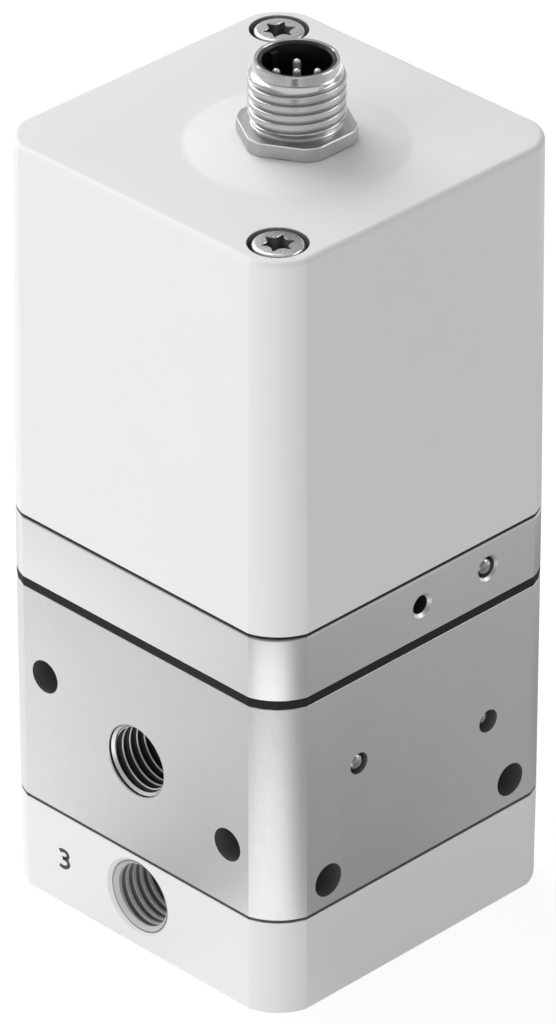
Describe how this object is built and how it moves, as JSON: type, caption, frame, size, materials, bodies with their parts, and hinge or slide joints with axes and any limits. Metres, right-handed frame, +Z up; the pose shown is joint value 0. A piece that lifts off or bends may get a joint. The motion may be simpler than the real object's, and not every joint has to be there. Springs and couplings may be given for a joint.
{
  "type": "electro pneumatic regulator",
  "caption": "Square electrically set pressure regulator: white cover with a round threaded connector on top, aluminium blocks with a clamped diaphragm, white base cap with the exhaust port.",
  "frame": {"origin": "on the body's axis at the underside of the base cap, where it stands", "axes": "+Z up towards the electrical connector, -Y out of the supply port and the exhaust port, +Y out of the output port, +X out of the vent hole"},
  "size_m": [0.05, 0.05, 0.1182],
  "materials": {
    "white_plastic": "moulded, fine satin texture",
    "base_plastic": "moulded, fine satin texture",
    "blasted_aluminium": "bead blasted and clear anodised",
    "plate_aluminium": "clear anodised",
    "turned_aluminium": "turned",
    "diaphragm_rubber": "fabric-backed nitrile rubber",
    "seal_rubber": "nitrile rubber",
    "steel": "stainless steel",
    "brass": "turned brass",
    "nickel": "nickel-plated brass",
    "black_plastic": "glass-filled black plastic",
    "winding": "enamelled copper wire on a bobbin",
    "board": "printed circuit board"
  },
  "bodies": {
    "housing": {"base_cap": "base_plastic", "base_gasket": "seal_rubber", "base_screw_1": "steel", "base_screw_2": "steel", "base_screw_3": "steel", "base_screw_4": "steel", "block_ball_lower": "steel", "block_ball_upper": "steel", "board_header": "black_plastic", "connector_board": "board", "connector_insert": "black_plastic", "connector_nut": "nickel", "connector_o_ring": "seal_rubber", "connector_sleeve": "nickel", "contact_pin_1": "nickel", "contact_pin_2": "nickel", "contact_pin_3": "nickel", "contact_pin_4": "nickel", "contact_pin_5": "nickel", "control_board": "board", "control_chip": "black_plastic", "cover_gasket": "seal_rubber", "cover_screw_back": "steel", "cover_screw_front": "steel", "diaphragm": "diaphragm_rubber", "exhaust_valve_body": "black_plastic", "exhaust_valve_coil": "winding", "exhaust_valve_core": "steel", "exhaust_valve_screw_left": "steel", "exhaust_valve_screw_right": "steel", "exhaust_valve_spring": "steel", "exhaust_valve_yoke": "steel", "fill_valve_body": "black_plastic", "fill_valve_coil": "winding", "fill_valve_core": "steel", "fill_valve_screw_left": "steel", "fill_valve_screw_right": "steel", "fill_valve_spring": "steel", "fill_valve_yoke": "steel", "guide_o_ring": "seal_rubber", "pilot_plate": "plate_aluminium", "plate_ball": "steel", "plate_screw_1": "steel", "plate_screw_2": "steel", "plate_screw_3": "steel", "plate_screw_4": "steel", "poppet_guide": "brass", "poppet_spring": "steel", "pressure_sensor": "black_plastic", "stem_o_ring": "seal_rubber", "top_cover": "white_plastic", "valve_block": "blasted_aluminium"},
    "poppet": {"main_poppet": "brass", "poppet_disc": "seal_rubber"},
    "diaphragm_stack": {"lower_diaphragm_plate": "turned_aluminium", "upper_diaphragm_plate": "turned_aluminium", "diaphragm_nut": "steel"},
    "fill_armature": {"fill_valve_armature": "steel"},
    "exhaust_armature": {"exhaust_valve_armature": "steel"}
  },
  "joints": [
    {"name": "poppet_travel", "type": "slide", "parent": "housing", "child": "poppet", "axis": [0, 0, -1], "range_m": [0, 0.0008], "stiffness_N_per_m": 1500, "springref_m": -0.003, "deforming": ["poppet_spring"]},
    {"name": "diaphragm_travel", "type": "slide", "parent": "poppet", "child": "diaphragm_stack", "axis": [0, 0, 1], "range_m": [0, 0.0006], "stiffness_N_per_m": 300, "springref_m": -0.0005, "deforming": ["diaphragm"]},
    {"name": "fill_armature_travel", "type": "slide", "parent": "housing", "child": "fill_armature", "axis": [0, 0, 1], "range_m": [0, 0.0004], "stiffness_N_per_m": 800, "springref_m": -0.0015, "deforming": ["fill_valve_spring"]},
    {"name": "exhaust_armature_travel", "type": "slide", "parent": "housing", "child": "exhaust_armature", "axis": [0, 0, 1], "range_m": [0, 0.0004], "stiffness_N_per_m": 800, "springref_m": -0.0015, "deforming": ["exhaust_valve_spring"]}
  ]
}
